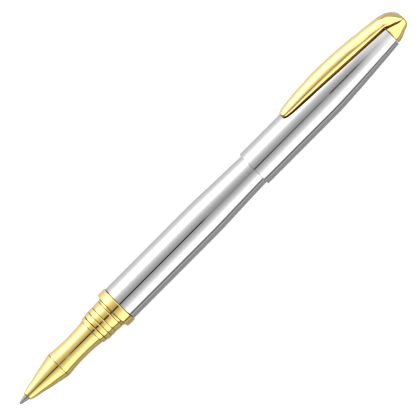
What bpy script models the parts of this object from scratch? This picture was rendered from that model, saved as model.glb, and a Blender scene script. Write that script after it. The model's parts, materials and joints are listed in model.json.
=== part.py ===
"""A rollerball pen with a twist-off section and a slide-on cap, posted on its tail.

The pen lies along X, tip towards -X, on a surface at z = 0. Stations are millimetres along
the pen from the front of the writing ball, radii are millimetres from the pen's axis, and
at() turns them into metres.
"""

from math import cos, pi, radians, sin, sqrt
from typing import NamedTuple

import bmesh
import bpy
from mathutils import Matrix, Vector

MM = 0.001

# Driving dimensions
POSTED_LENGTH = 152.6
COLLAR_RADIUS = 6.1
BARREL_RADIUS = 5.74
TUBE_WALL = 0.45
SIDES = 24
FIT_GAP = 0.1

# Section: the gold front end
NOSE_FRONT = 2.95
NOSE_SEAM = 15.7
COLLAR_FRONT = 37.0
COLLAR_BACK = 39.8
SECTION_BORE = 3.15
SEAT_RADIUS = 4.75
TENON_END = 47.6

# Screw joint between section and barrel
PITCH = 1.0
ROWS_PER_PITCH = 4
THREAD_START = 42.0
THREAD_END = 47.0
THREAD_ROOT = 3.9
THREAD_CREST = 4.4
THREAD_PLAY = 0.1

# Refill
BALL_RADIUS = 0.35
TIP_RADIUS = 1.07
REFILL_RADIUS = 3.0
REFILL_WALL = 0.35
REFILL_END = 111.3

# Barrel
BARREL_FRONT = 39.95
BARREL_END = 114.4
PLUG_END = 115.4
SPRING_TURNS = 3
SPRING_WIRE = 0.4
SPRING_RADIUS = 2.2

# Cap, as posted
CAP_LIP = 93.1
CAP_STRAIGHT_END = 123.2
CAP_END = 146.5
LINER_MOUTH = 107.0

# Clip
CLIP_CLOCK = radians(57)
CLIP_SHEET = 0.5
CLIP_CLEARANCE = 0.25
PIVOT_STATION = 152.3
PIVOT_HEIGHT = 2.2
TANG_FRONT = 146.85
TANG_BACK = 147.35
TANG_HALF_WIDTH = 1.4

GOLD = ((0.86, 0.64, 0.22), 0.18, 1.0)
CHROME = ((0.80, 0.80, 0.82), 0.08, 1.0)
STEEL = ((0.55, 0.55, 0.56), 0.30, 1.0)
RUBBER = ((0.02, 0.02, 0.02), 0.70, 0.0)
BLACK_PLASTIC = ((0.03, 0.03, 0.035), 0.40, 0.0)
PALE_PLASTIC = ((0.80, 0.80, 0.78), 0.35, 0.0)
INK_FIBRE = ((0.03, 0.04, 0.15), 0.90, 0.0)


class Thread(NamedTuple):
    """A stretch of screw thread in an outline, listed from start to end."""

    start: float
    end: float
    root: float
    crest: float


def at(station):
    """Metres along the pen from its middle."""
    return (station - POSTED_LENGTH / 2) * MM


def arc(centre, radius, start, end, steps):
    """Outline points on an arc; angles in degrees, 0 towards the tail, 90 away from the axis."""
    angles = [radians(start + (end - start) * i / steps) for i in range(steps + 1)]
    return [(centre[0] + radius * cos(a), centre[1] + radius * sin(a)) for a in angles]


def between(table, station):
    """A value read from a table of (station, value), with straight runs between its rows."""
    for (s0, v0), (s1, v1) in zip(table, table[1:]):
        if station <= s1:
            return v0 + (v1 - v0) * max(station - s0, 0) / (s1 - s0)
    return table[-1][1]


def thread_points(thread, turned):
    """The thread's outline after part of a turn: it climbs PITCH in a turn, right-handed.

    An inside thread has its ridge where an outside thread has its groove, so they mesh.
    """
    low, high = sorted((thread.start, thread.end))
    inside_thread = thread.crest < thread.root
    first = round(low / PITCH - 1) * ROWS_PER_PITCH
    last = round(high / PITCH) * ROWS_PER_PITCH
    points = []
    for row in range(first, last + 1):
        station = PITCH * (row / ROWS_PER_PITCH + turned)
        ridge = (row % ROWS_PER_PITCH >= ROWS_PER_PITCH / 2) != inside_thread
        radius = thread.crest if ridge and low < station < high else thread.root
        points.append((min(max(station, low), high), radius))
    return points if thread.start < thread.end else points[::-1]


def outline_at(outline, turned):
    """The outline with its threads written out as points."""
    points = []
    for item in outline:
        points += thread_points(item, turned) if isinstance(item, Thread) else [item]
    return points


def material(name, look):
    colour, roughness, metallic = look
    made = bpy.data.materials.new(name)
    made.use_nodes = True
    shader = made.node_tree.nodes["Principled BSDF"]
    shader.inputs["Base Color"].default_value = (*colour, 1)
    shader.inputs["Roughness"].default_value = roughness
    shader.inputs["Metallic"].default_value = metallic
    return made


def add(name, data, look, body):
    """Puts a mesh or curve into the scene as a named piece of a body."""
    piece = bpy.data.objects.new(name, data)
    bpy.context.collection.objects.link(piece)
    piece.parent = body
    if look:
        data.materials.append(material(name, look))
    return piece


def mesh_from(bm, name):
    """A finished mesh: seams welded, faces out, round faces smooth."""
    bmesh.ops.remove_doubles(bm, verts=bm.verts, dist=1e-7)
    bmesh.ops.recalc_face_normals(bm, faces=bm.faces)
    mesh = bpy.data.meshes.new(name)
    bm.to_mesh(mesh)
    bm.free()
    mesh.shade_smooth()
    mesh.set_sharp_from_angle(angle=radians(35))
    return mesh


def turn(name, outline, look, body, sides=SIDES):
    """Turns a closed outline of (station, radius) points about the pen's axis."""
    bm = bmesh.new()
    columns = []
    for i in range(sides + 1):
        angle = 2 * pi * (i % sides) / sides
        points = outline_at(outline, i / sides)
        spot = [(at(s), -r * MM * sin(angle), r * MM * cos(angle)) for s, r in points]
        columns.append([bm.verts.new(co) for co in spot])
    radii = [r for _, r in points]
    for left, right in zip(columns, columns[1:]):
        for j, k in zip(range(-1, len(left) - 1), range(len(left))):
            if radii[j] or radii[k]:
                bm.faces.new((left[j], left[k], right[k], right[j]))
    return add(name, mesh_from(bm, name), look, body)


def loft(name, loops, look, body):
    """Skins a row of equal point loops and closes both ends."""
    bm = bmesh.new()
    rings = [[bm.verts.new(co) for co in loop] for loop in loops]
    for first, second in zip(rings, rings[1:]):
        for j in range(len(first)):
            bm.faces.new((first[j - 1], first[j], second[j], second[j - 1]))
    bm.faces.new(rings[0])
    bm.faces.new(rings[-1])
    return add(name, mesh_from(bm, name), look, body)


def prism(name, corners, start, end, body):
    """A straight bar along X through (y, z) corners in mm, between two stations."""
    loops = [[(x, y * MM, z * MM) for y, z in corners] for x in (start, end)]
    return loft(name, loops, None, body)


def combine(piece, other, operation):
    """Cuts the other shape from a piece, or joins it on, and hides it."""
    boolean = piece.modifiers.new(other.name, "BOOLEAN")
    boolean.object = other
    boolean.operation = operation
    boolean.solver = "EXACT"
    other.hide_render = True
    other.display_type = "WIRE"


def empty(name, location, clock=0.0, parent=None):
    made = bpy.data.objects.new(name, None)
    bpy.context.collection.objects.link(made)
    made.location = location
    made.rotation_euler = (-clock, 0, 0)
    made.parent = parent
    return made


def bead(start, end, foot, crest):
    """A rounded bead between two stations, as outline points."""
    middle = (start + end) / 2
    flank = (end - start) / 4
    shoulder = foot + 0.75 * (crest - foot)
    return [
        (start, foot),
        (middle - flank, shoulder),
        (middle, crest),
        (middle + flank, shoulder),
        (end, foot),
    ]


def make_section(body):
    nose_outside = [
        (NOSE_FRONT, 1.18),
        (NOSE_FRONT, 1.36),
        (3.36, 1.60),
        (5.04, 2.03),
        (6.72, 2.37),
        (8.4, 2.77),
        (10.1, 3.16),
        (11.8, 3.50),
        (13.4, 3.85),
        (15.1, 4.20),
        (15.45, 4.24),
        (NOSE_SEAM - 0.08, 4.16),
    ]
    nose_inside = [
        (NOSE_SEAM - 0.08, 3.62),
        (14.0, 3.62),
        (14.0, 3.3),
        (13.4, 3.3),
        (8.4, 2.25),
        (6.1, 1.6),
        (6.1, 1.18),
    ]
    turn("nose_cone", nose_outside + nose_inside, GOLD, body)

    waist = [
        (NOSE_SEAM + 0.05, 4.15),
        (16.8, 4.14),
        (18.5, 3.98),
        (20.2, 3.87),
        (21.8, 3.84),
        (23.5, 3.85),
        (25.2, 3.91),
        (26.9, 4.03),
        (28.0, 4.16),
        (28.9, 4.30),
    ]
    beads = (
        bead(28.95, 30.3, 4.42, 4.58)
        + bead(30.5, 32.0, 4.60, 4.92)
        + bead(32.15, 33.65, 4.68, 4.94)
        + [(33.85, 4.76), (33.95, 4.88), (35.95, 4.88), (36.1, 4.76)]
        + [(36.35, 4.78), (36.45, 5.0), (36.9, 5.0)]
    )
    tenon = [
        (36.9, SEAT_RADIUS),
        (40.1, SEAT_RADIUS),
        (40.35, 4.05),
        (41.35, 4.05),
        (41.35, 4.35),
        (41.75, 4.35),
        (41.85, THREAD_ROOT),
        Thread(THREAD_START, THREAD_END, THREAD_ROOT, THREAD_CREST),
        (TENON_END - 0.2, THREAD_ROOT),
        (TENON_END, 3.7),
    ]
    bore = [
        (TENON_END, SECTION_BORE),
        (14.15, SECTION_BORE),
        (14.15, 3.55),
        (NOSE_SEAM + 0.05, 3.55),
    ]
    turn("grip_section", waist + beads + tenon + bore, GOLD, body)

    corner = 0.45
    collar = [
        (COLLAR_BACK, SEAT_RADIUS + FIT_GAP),
        (COLLAR_FRONT + 0.15, SEAT_RADIUS + FIT_GAP),
        (COLLAR_FRONT, 5.1),
        *arc((COLLAR_FRONT + corner, COLLAR_RADIUS - corner), corner, 180, 90, 3),
        (COLLAR_BACK - 0.15, COLLAR_RADIUS),
        (COLLAR_BACK, COLLAR_RADIUS - 0.15),
    ]
    turn("collar_ring", collar, GOLD, body)
    turn("thread_o_ring", arc((40.85, 4.45), 0.33, 0, 315, 7), RUBBER, body)


def make_refill(body):
    socket = BALL_RADIUS + 0.035
    lip_angle = 113
    throat_angle = 40
    cup = arc((BALL_RADIUS, 0), socket, throat_angle, lip_angle, 4)
    lip_station = cup[-1][0]
    throat_radius = cup[0][1]
    tip = [
        *cup,
        (lip_station, 0.43),
        (3.0, TIP_RADIUS),
        (9.0, TIP_RADIUS),
        (9.0, 0.6),
        (3.3, 0.6),
        (3.0, throat_radius),
    ]
    turn("refill_tip", tip, STEEL, body)

    nose = [
        (6.5, TIP_RADIUS + FIT_GAP),
        (6.5, 1.5),
        (8.4, 1.95),
        (12.0, 2.5),
        (15.6, 2.85),
        (16.2, 2.9),
        (16.2, 2.55),
        (19.0, 2.55),
        (19.0, 0.65),
        (9.1, 0.65),
        (9.1, TIP_RADIUS + FIT_GAP),
    ]
    turn("refill_nose", nose, BLACK_PLASTIC, body)

    turn("ink_feed", [(4.0, 0), (4.0, 0.5), (25.0, 0.5), (25.0, 0)], INK_FIBRE, body, 16)

    inside = REFILL_RADIUS - REFILL_WALL
    tube = [(16.35, inside), (16.35, REFILL_RADIUS), (110.3, REFILL_RADIUS), (110.3, inside)]
    turn("refill_tube", tube, PALE_PLASTIC, body)

    filler = [
        (25.6, 0),
        (25.6, 0.65),
        (19.4, 0.65),
        (19.4, 2.5),
        (104.0, 2.5),
        (104.0, 0),
    ]
    turn("ink_reservoir", filler, INK_FIBRE, body)

    plug = [
        (106.0, 0.4),
        (106.0, 2.55),
        (110.4, 2.55),
        (110.4, REFILL_RADIUS),
        (REFILL_END, REFILL_RADIUS),
        (REFILL_END, 0.4),
    ]
    turn("refill_plug", plug, BLACK_PLASTIC, body)


def make_ball(body):
    bm = bmesh.new()
    bmesh.ops.create_uvsphere(bm, u_segments=16, v_segments=8, radius=BALL_RADIUS * MM)
    add("writing_ball", mesh_from(bm, "writing_ball"), STEEL, body)


def barrel_radius(station):
    """The barrel is straight to two fifths of its length, then tapers to the tail."""
    taper = [
        (73.4, BARREL_RADIUS),
        (78.0, 5.62),
        (84.0, 5.36),
        (92.4, 5.10),
        (103.0, 4.76),
        (BARREL_END, 4.36),
    ]
    return between(taper, station)


def make_barrel(body):
    taper_stations = (73.4, 78.0, 84.0, 92.4, 103.0, BARREL_END)
    outside = [(BARREL_FRONT, BARREL_RADIUS - 0.12), (BARREL_FRONT + 0.12, BARREL_RADIUS)]
    outside += [(s, barrel_radius(s)) for s in taper_stations]
    inside = [(s, barrel_radius(s) - TUBE_WALL) for s in reversed(taper_stations)]
    inside += [(BARREL_FRONT, BARREL_RADIUS - TUBE_WALL)]
    turn("barrel_tube", outside + inside, CHROME, body)

    bush_outside = BARREL_RADIUS - TUBE_WALL - FIT_GAP
    female_root = THREAD_CREST + THREAD_PLAY
    female_crest = THREAD_ROOT + THREAD_PLAY
    bush = [
        (40.3, 4.9),
        (40.3, bush_outside),
        (49.0, bush_outside),
        (49.0, female_root),
        Thread(THREAD_END + 1, THREAD_START, female_root, female_crest),
        (41.8, female_root),
        (41.6, 4.9),
    ]
    turn("thread_bush", bush, GOLD, body)

    flange = barrel_radius(BARREL_END) - 0.05
    corner = 0.4
    plug = [
        (113.75, 0),
        (113.75, 3.75),
        (BARREL_END + 0.1, 3.75),
        (BARREL_END + 0.1, flange),
        *arc((PLUG_END - corner, flange - corner), corner, 90, 0, 3),
        (PLUG_END, 0),
    ]
    turn("barrel_end_plug", plug, CHROME, body)
    make_spring(body, REFILL_END + 0.2 + SPRING_WIRE / 2, 0.57)


def make_spring(body, start, rise):
    """A coil of round wire; rise is the distance between its turns."""
    curve = bpy.data.curves.new("refill_spring", "CURVE")
    curve.dimensions = "3D"
    curve.bevel_depth = SPRING_WIRE / 2 * MM
    curve.bevel_resolution = 1
    curve.use_fill_caps = True
    steps = 16
    spline = curve.splines.new("POLY")
    spline.points.add(SPRING_TURNS * steps)
    for i, point in enumerate(spline.points):
        angle = 2 * pi * i / steps
        y = SPRING_RADIUS * MM * sin(angle)
        z = SPRING_RADIUS * MM * cos(angle)
        point.co = (at(start + rise * i / steps), y, z, 1)
    add("refill_spring", curve, STEEL, body)


def cap_radius(station):
    """The cap is straight for half its length, then tapers to the crown."""
    taper = [
        (CAP_STRAIGHT_END, BARREL_RADIUS),
        (126.0, 5.55),
        (131.0, 5.24),
        (136.0, 4.86),
        (141.0, 4.47),
        (144.5, 4.24),
        (CAP_END, 4.05),
    ]
    return between(taper, station)


def make_cap(body):
    taper_stations = (CAP_STRAIGHT_END, 126.0, 131.0, 136.0, 141.0, 144.5)
    flange_station = CAP_END - 0.9
    screw_hole = 1.15
    lip = 0.12
    outside = [(CAP_LIP, BARREL_RADIUS - lip), (CAP_LIP + lip, BARREL_RADIUS)]
    outside += [(s, cap_radius(s)) for s in taper_stations]
    outside += [(CAP_END, cap_radius(CAP_END)), (CAP_END, screw_hole)]
    inside = [(flange_station, screw_hole)]
    inside += [(flange_station, cap_radius(flange_station) - TUBE_WALL)]
    inside += [(s, cap_radius(s) - TUBE_WALL) for s in reversed(taper_stations)]
    inside += [(CAP_LIP, BARREL_RADIUS - TUBE_WALL)]
    turn("cap_tube", outside + inside, CHROME, body)

    liner_end = 141.5
    liner_stations = (LINER_MOUTH, CAP_STRAIGHT_END, 126.0, 131.0, 136.0, 141.0, liner_end)
    liner = [(s, cap_radius(s) - TUBE_WALL - FIT_GAP) for s in liner_stations]
    liner += [
        (liner_end, 0),
        (140.3, 0),
        (140.3, 3.4),
        (136.0, 3.8),
        (130.5, 4.3),
        (PLUG_END, 4.3),
        (114.6, 4.55),
        (LINER_MOUTH, barrel_radius(LINER_MOUTH) + 0.12),
    ]
    turn("inner_cap", liner, PALE_PLASTIC, body)
    make_crown(body)

    washer = [(144.95, 1.25), (144.95, 2.1), (145.45, 2.1), (145.45, 1.25)]
    turn("lock_washer", washer, STEEL, body, 24)
    head = 2.0
    screw = [
        (143.4, 0),
        (143.4, head - 0.15),
        (143.55, head),
        (144.8, head),
        (144.8, 1.0),
        (150.4, 1.0),
        (150.6, 0.8),
        (150.6, 0),
    ]
    shank = turn("crown_screw", screw, STEEL, body, 24)
    hexagon = [(1.0 * cos(i * pi / 3), 1.0 * sin(i * pi / 3)) for i in range(6)]
    combine(shank, prism("hex_socket_cutter", hexagon, at(143.0), at(144.4), body), "DIFFERENCE")


CROWN_SHAPE = [
    (146.75, 3.80),
    (147.3, 3.74),
    (148.4, 3.47),
    (149.5, 3.05),
    (150.6, 2.56),
    (151.3, 2.26),
    (151.9, 1.97),
    (152.3, 1.55),
    (152.55, 1.0),
]


def make_crown(body):
    """A bullet with a recess for the clip's tang, a slot to let it in, and a screw hole."""
    outline = CROWN_SHAPE + [
        (POSTED_LENGTH, 0.7),
        (POSTED_LENGTH, 0),
        (151.0, 0),
        (151.0, 1.1),
        (TANG_BACK + CLIP_CLEARANCE, 1.1),
        (TANG_BACK + CLIP_CLEARANCE, 3.0),
        (146.75, 3.0),
    ]
    crown = turn("crown", outline, GOLD, body)
    half = TANG_HALF_WIDTH + 0.35
    corners = [(-half, 2.0), (half, 2.0), (half, 6.0), (-half, 6.0)]
    slot = prism("tang_slot_cutter", corners, at(146.0), at(TANG_BACK + CLIP_CLEARANCE), body)
    slot.rotation_euler = (-CLIP_CLOCK, 0, 0)
    combine(crown, slot, "DIFFERENCE")


class ClipSection(NamedTuple):
    """The clip's section at a station: half width, and heights over the pen's axis."""

    station: float
    half_width: float
    crest: float
    edge: float
    foot: float


CLIP_SECTIONS = [
    ClipSection(108.9, 0.55, 6.55, 6.40, 6.15),
    ClipSection(109.1, 0.95, 6.85, 6.55, 6.05),
    ClipSection(109.6, 1.30, 7.12, 6.70, 5.97),
    ClipSection(110.6, 1.58, 7.40, 6.88, 5.92),
    ClipSection(112.6, 1.85, 7.70, 7.02, 5.88),
    ClipSection(115.9, 2.10, 8.02, 7.20, 5.82),
    ClipSection(119.3, 2.30, 8.26, 7.32, 5.74),
    ClipSection(123.2, 2.45, 8.44, 7.40, 5.62),
    ClipSection(127.7, 2.50, 8.33, 7.28, 5.34),
    ClipSection(131.0, 2.50, 8.14, 7.10, 5.10),
    ClipSection(135.8, 2.45, 7.72, 6.72, 4.78),
    ClipSection(141.1, 2.38, 7.05, 6.10, 4.48),
    ClipSection(144.5, 2.35, 6.62, 5.72, 4.32),
    ClipSection(146.6, 2.35, 6.28, 5.40, 4.22),
    ClipSection(147.3, 2.42, 6.12, 5.26, 4.00),
    ClipSection(148.0, 2.46, 5.92, 5.08, 0),
    ClipSection(149.5, 2.46, 5.36, 4.50, 0),
    ClipSection(150.6, 2.42, 4.62, 3.76, 0),
    ClipSection(151.3, 2.36, 3.96, 3.14, 0),
    ClipSection(151.9, 2.20, 3.18, 2.44, 0),
    ClipSection(152.3, 1.85, 2.42, 1.92, 0),
    ClipSection(152.5, 1.30, 1.90, 1.62, 0),
]


def clip_loop(section):
    """One C-shaped section of the clip: a crowned back, two side walls and a hollow under it.

    Over the crown a wall's foot and the hollow follow the crown's round with a clearance.
    """
    station, half, crest, edge, foot = section
    crown = between(CROWN_SHAPE, station) + CLIP_CLEARANCE if station > 147.9 else 0
    wall = min(CLIP_SHEET, half / 2)
    inner = half - wall
    foot = foot or sqrt(max(crown**2 - inner**2, 0))
    roof = max(crest - CLIP_SHEET, crown)
    roof_edge = max(edge - 0.35 * CLIP_SHEET, foot + 0.04)
    back = [-1, -0.72, -0.38, 0, 0.38, 0.72, 1]
    outer = [(half * b, edge + (crest - edge) * (1 - b * b)) for b in back]
    under = [(inner * b, roof_edge + (roof - roof_edge) * (1 - b * b)) for b in back[::-1]]
    loop = [(-half, foot), *outer, (half, foot), (inner, foot), *under, (-inner, foot)]
    x = (station - PIVOT_STATION) * MM
    return [(x, y * MM, (z - PIVOT_HEIGHT) * MM) for y, z in loop]


def make_clip(body):
    """The sprung clip: a channel from its tip to the end of the crown, with a tang inside."""
    clip = loft("clip", [clip_loop(s) for s in CLIP_SECTIONS], GOLD, body)

    ring = 2.6
    hole = 1.6
    half = TANG_HALF_WIDTH
    start = (TANG_FRONT - PIVOT_STATION) * MM
    end = (TANG_BACK - PIVOT_STATION) * MM
    joins = sqrt(ring**2 - half**2)
    first = pi / 2 + half / ring
    sweep = 2 * pi - 2 * half / ring
    turns = [first + sweep * i / 20 for i in range(1, 20)]
    rim = [(ring * cos(a), ring * sin(a)) for a in turns]
    corners = [(half, 5.85), (-half, 5.85), (-half, joins), *rim, (half, joins)]
    tang = prism("tang", [(y, z - PIVOT_HEIGHT) for y, z in corners], start, end, body)
    circle = [(hole * cos(i * pi / 12), hole * sin(i * pi / 12)) for i in range(24)]
    drill = [(y, z - PIVOT_HEIGHT) for y, z in circle]
    combine(tang, prism("tang_drill", drill, start - MM, end + MM, body), "DIFFERENCE")
    combine(clip, tang, "UNION")


def make_pen():
    for old in list(bpy.data.objects):
        bpy.data.objects.remove(old, do_unlink=True)

    barrel = empty("barrel_axis", (0, 0, COLLAR_RADIUS * MM))
    refill = empty("refill_axis", (0, 0, 0), parent=barrel)
    section = empty("section_axis", (0, 0, 0), parent=refill)
    ball = empty("ball_centre", (at(BALL_RADIUS), 0, 0), parent=refill)
    cap = empty("cap_axis", (0, 0, 0), parent=barrel)
    toward_clip = Matrix.Rotation(-CLIP_CLOCK, 3, "X") @ Vector((0, 0, PIVOT_HEIGHT * MM))
    pivot = Vector((at(PIVOT_STATION), 0, 0)) + toward_clip
    clip = empty("clip_pivot", pivot, clock=CLIP_CLOCK, parent=cap)

    make_barrel(barrel)
    make_refill(refill)
    make_section(section)
    make_ball(ball)
    make_cap(cap)
    make_clip(clip)


make_pen()
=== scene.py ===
"""Looks for the rollerball pen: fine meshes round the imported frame, polished metals and a soft studio.

Stations are millimetres along the pen from the front of its writing ball, and radii are millimetres
from its axis, as in the part's own source. The piece fine_NODE stands for the CAD node NODE.
"""

import json
from math import cos, pi, radians, sin, sqrt, tan
from typing import NamedTuple

import bmesh
import bpy
from mathutils import Matrix, Vector


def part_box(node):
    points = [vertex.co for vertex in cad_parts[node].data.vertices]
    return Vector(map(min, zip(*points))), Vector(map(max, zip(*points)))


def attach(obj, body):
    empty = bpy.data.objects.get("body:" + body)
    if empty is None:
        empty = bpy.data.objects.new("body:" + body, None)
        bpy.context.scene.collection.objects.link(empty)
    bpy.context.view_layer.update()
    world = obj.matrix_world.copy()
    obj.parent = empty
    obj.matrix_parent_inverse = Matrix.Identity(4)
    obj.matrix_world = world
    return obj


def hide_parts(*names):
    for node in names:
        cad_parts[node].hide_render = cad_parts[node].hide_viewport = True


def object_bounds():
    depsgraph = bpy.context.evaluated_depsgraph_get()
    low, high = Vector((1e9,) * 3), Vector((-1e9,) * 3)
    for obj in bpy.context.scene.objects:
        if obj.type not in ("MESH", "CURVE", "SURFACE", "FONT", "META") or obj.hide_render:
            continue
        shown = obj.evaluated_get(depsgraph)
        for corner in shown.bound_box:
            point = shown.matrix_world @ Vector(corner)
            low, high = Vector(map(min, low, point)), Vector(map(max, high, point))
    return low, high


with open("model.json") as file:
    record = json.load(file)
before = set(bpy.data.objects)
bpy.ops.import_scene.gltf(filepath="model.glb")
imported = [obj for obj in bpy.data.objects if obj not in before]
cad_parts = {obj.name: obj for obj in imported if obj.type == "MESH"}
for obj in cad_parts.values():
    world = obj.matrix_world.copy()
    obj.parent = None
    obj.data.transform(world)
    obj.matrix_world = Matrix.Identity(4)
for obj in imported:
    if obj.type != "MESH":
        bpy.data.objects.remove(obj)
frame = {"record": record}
CAD_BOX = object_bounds()

MM = 0.001
RECORD = frame["record"]
BODY_OF = {node: body for body, nodes in RECORD["behaviour"]["bodies"].items() for node in nodes}
SLOT_OF = {row["node"]: row["material_slot"] for row in RECORD["subparts"]}


def middle(node):
    low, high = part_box(node)
    return (low + high) / 2


def stations(node):
    """Where a node starts and ends along the pen, in mm from the front of the ball."""
    low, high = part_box(node)
    return (low.x - PEN_FRONT) / MM, (high.x - PEN_FRONT) / MM


def widest(node):
    """A round node's largest radius, in mm."""
    low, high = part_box(node)
    return (high.z - low.z) / 2 / MM


# Driving dimensions, from the frame
PEN_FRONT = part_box("writing_ball")[0].x
AXIS_HEIGHT = middle("collar_ring").z
POSTED_LENGTH = stations("crown")[1]
NOSE_FRONT = stations("nose_cone")[0]
COLLAR_FRONT, COLLAR_BACK = stations("collar_ring")
COLLAR_RADIUS = widest("collar_ring")
BARREL_FRONT, BARREL_END = stations("barrel_tube")
BARREL_RADIUS = widest("barrel_tube")
CAP_LIP, CAP_END = stations("cap_tube")
REFILL_END = stations("refill_plug")[1]
PLUG_END = stations("barrel_end_plug")[1]
CLIP_TIP = stations("clip")[0]

# As in the part's source
NOSE_SEAM = 15.7
TUBE_WALL = 0.45
FIT_GAP = 0.1
SECTION_BORE = 3.15
SEAT_RADIUS = 4.75
TENON_END = 47.6
PITCH = 1.0
THREAD_START = 42.0
THREAD_END = 47.0
THREAD_ROOT = 3.9
THREAD_CREST = 4.4
THREAD_PLAY = 0.1
BALL_RADIUS = 0.35
TIP_RADIUS = 1.07
REFILL_RADIUS = 3.0
REFILL_WALL = 0.35
CAP_STRAIGHT_END = 123.2
CLIP_CLOCK = radians(57)
CLIP_SHEET = 0.5
CLIP_CLEARANCE = 0.25
TANG_FRONT = 146.85
TANG_BACK = 147.35
TANG_HALF_WIDTH = 1.4

# Fineness of the meshes: steps round the pen and along curves, mm at corners and on threads,
# and metres for merging
SIDES = 144
CURVE_STEPS = 6
FILLET_STEPS = 4
THREAD_ROWS = 12
EDGE_BREAK = 0.05
SUPPORT = 0.03
LEAST_FILLET = 0.004
MOST_FILLET_SHARE = 0.45
THREAD_RUNOUT = 0.4
MERGE_GAP = 2e-8
LEAST_EDGE = 1e-9
SHARP_ANGLE = radians(40)


# ---------------------------------------------------------------- outlines


class Run(NamedTuple):
    """A stretch of outline that flows smoothly through its points."""

    points: list


class Thread(NamedTuple):
    """A stretch of screw thread in an outline, listed from start to end."""

    start: float
    end: float
    root: float
    crest: float


def arc(centre, radius, start, end, steps=FILLET_STEPS * 2):
    """Outline points on an arc; angles in degrees, 0 towards the tail, 90 away from the axis."""
    angles = [radians(start + (end - start) * i / steps) for i in range(steps + 1)]
    return [(centre[0] + radius * cos(a), centre[1] + radius * sin(a), 0) for a in angles]


def flow(points, steps=CURVE_STEPS):
    """Points on a smooth curve through rows of numbers, spaced by the distance between rows."""
    rows = [Vector(p) for p in points]
    knots = [0.0]
    for a, b in zip(rows, rows[1:]):
        knots.append(knots[-1] + sqrt((b - a).length))
    last = len(rows) - 1
    slopes = []
    for i in range(last + 1):
        before, after = max(i - 1, 0), min(i + 1, last)
        here = (rows[after] - rows[before]) / (knots[after] - knots[before])
        if 0 < i < last:
            left = (rows[i] - rows[before]) / (knots[i] - knots[before])
            right = (rows[after] - rows[i]) / (knots[after] - knots[i])
            share = (knots[i] - knots[before]) / (knots[after] - knots[before])
            here = left * (1 - share) + right * share
        slopes.append(here)
    made = []
    for i in range(last):
        width = knots[i + 1] - knots[i]
        for k in range(steps):
            t = k / steps
            made.append(
                rows[i] * (1 + 2 * t) * (1 - t) ** 2
                + slopes[i] * width * t * (1 - t) ** 2
                + rows[i + 1] * t * t * (3 - 2 * t)
                + slopes[i + 1] * width * t * t * (t - 1)
            )
    return [tuple(row) for row in made + [rows[-1]]]


def bend(start, corner, end, steps):
    """Points of a curve that leaves start and reaches end, both aimed at the corner."""
    a, b, c = Vector(start), Vector(corner), Vector(end)
    spots = [i / steps for i in range(steps + 1)]
    return [tuple(a * (1 - t) ** 2 + b * 2 * t * (1 - t) + c * t * t) for t in spots]


def cubic(start, leave, arrive, end, steps):
    """Points of a curve from start towards leave, and to end from arrive."""
    made = []
    for i in range(steps + 1):
        t = i / steps
        first = start * (1 - t) ** 3 + leave * 3 * t * (1 - t) ** 2
        made.append(tuple(first + arrive * 3 * t * t * (1 - t) + end * t**3))
    return made


def plain_points(outline):
    """The outline as (station, radius, fillet) points, with its runs written out."""
    points = []
    for item in outline:
        if isinstance(item, Thread):
            points.append(item)
        elif isinstance(item, Run):
            curve = flow([p[:2] for p in item.points])
            points += [(*p, EDGE_BREAK if i in (0, len(curve) - 1) else 0) for i, p in enumerate(curve)]
        else:
            points.append(item if len(item) == 3 else (*item, EDGE_BREAK))
    return points


def softened(outline):
    """The closed outline with rounded corners, and extra points that hold its flats flat."""
    points = plain_points(outline)
    count = len(points)
    made = []
    for i, point in enumerate(points):
        before, after = points[i - 1], points[(i + 1) % count]
        if isinstance(point, Thread):
            made.append(point)
            continue
        if isinstance(before, Thread) or isinstance(after, Thread) or not point[1]:
            made.append(point[:2])
            continue
        here = Vector(point[:2])
        back, ahead = Vector(before[:2]) - here, Vector(after[:2]) - here
        reach = point[2] * tan((pi - back.angle(ahead)) / 2) if point[2] else 0
        reach = min(reach, MOST_FILLET_SHARE * back.length, MOST_FILLET_SHARE * ahead.length)
        if reach < LEAST_FILLET:
            made.append(point[:2])
            continue
        start, end = here + back.normalized() * reach, here + ahead.normalized() * reach
        if back.length > reach * 2 + SUPPORT * 3:
            made.append(tuple(start + back.normalized() * SUPPORT))
        made += bend(start, here, end, FILLET_STEPS)
        if ahead.length > reach * 2 + SUPPORT * 3:
            made.append(tuple(end + ahead.normalized() * SUPPORT))
    return made


def thread_points(thread, turned):
    """The thread's outline after part of a turn: it climbs PITCH in a turn, right-handed.

    Its root, flanks and crest each take a quarter of the pitch. An inside thread has its ridge
    where an outside thread has its groove, so they mesh.
    """
    low, high = sorted((thread.start, thread.end))
    inside_thread = thread.crest < thread.root
    points = []
    for row in range(round(low / PITCH - 1) * THREAD_ROWS, round(high / PITCH) * THREAD_ROWS + 1):
        station = PITCH * (row / THREAD_ROWS + turned)
        phase = (row / THREAD_ROWS + (0.5 if inside_thread else 0)) % 1
        ridge = min(max(1.5 - abs(phase - 0.625) * 4, 0), 1)
        runout = min(max(station - low, 0), max(high - station, 0), THREAD_RUNOUT) / THREAD_RUNOUT
        radius = thread.root + (thread.crest - thread.root) * ridge * runout
        points.append((min(max(station, low), high), radius))
    return points if thread.start < thread.end else points[::-1]


# ---------------------------------------------------------------- meshes


def finished_mesh(bm, name):
    """The mesh with doubles merged and its faces turned outwards."""
    bmesh.ops.remove_doubles(bm, verts=bm.verts, dist=MERGE_GAP)
    bmesh.ops.dissolve_degenerate(bm, edges=bm.edges, dist=LEAST_EDGE)
    bmesh.ops.recalc_face_normals(bm, faces=bm.faces)
    mesh = bpy.data.meshes.new(name)
    bm.to_mesh(mesh)
    bm.free()
    return mesh


def smooth(piece):
    piece.data.shade_smooth()
    piece.data.set_sharp_from_angle(angle=SHARP_ANGLE)
    return piece


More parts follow.
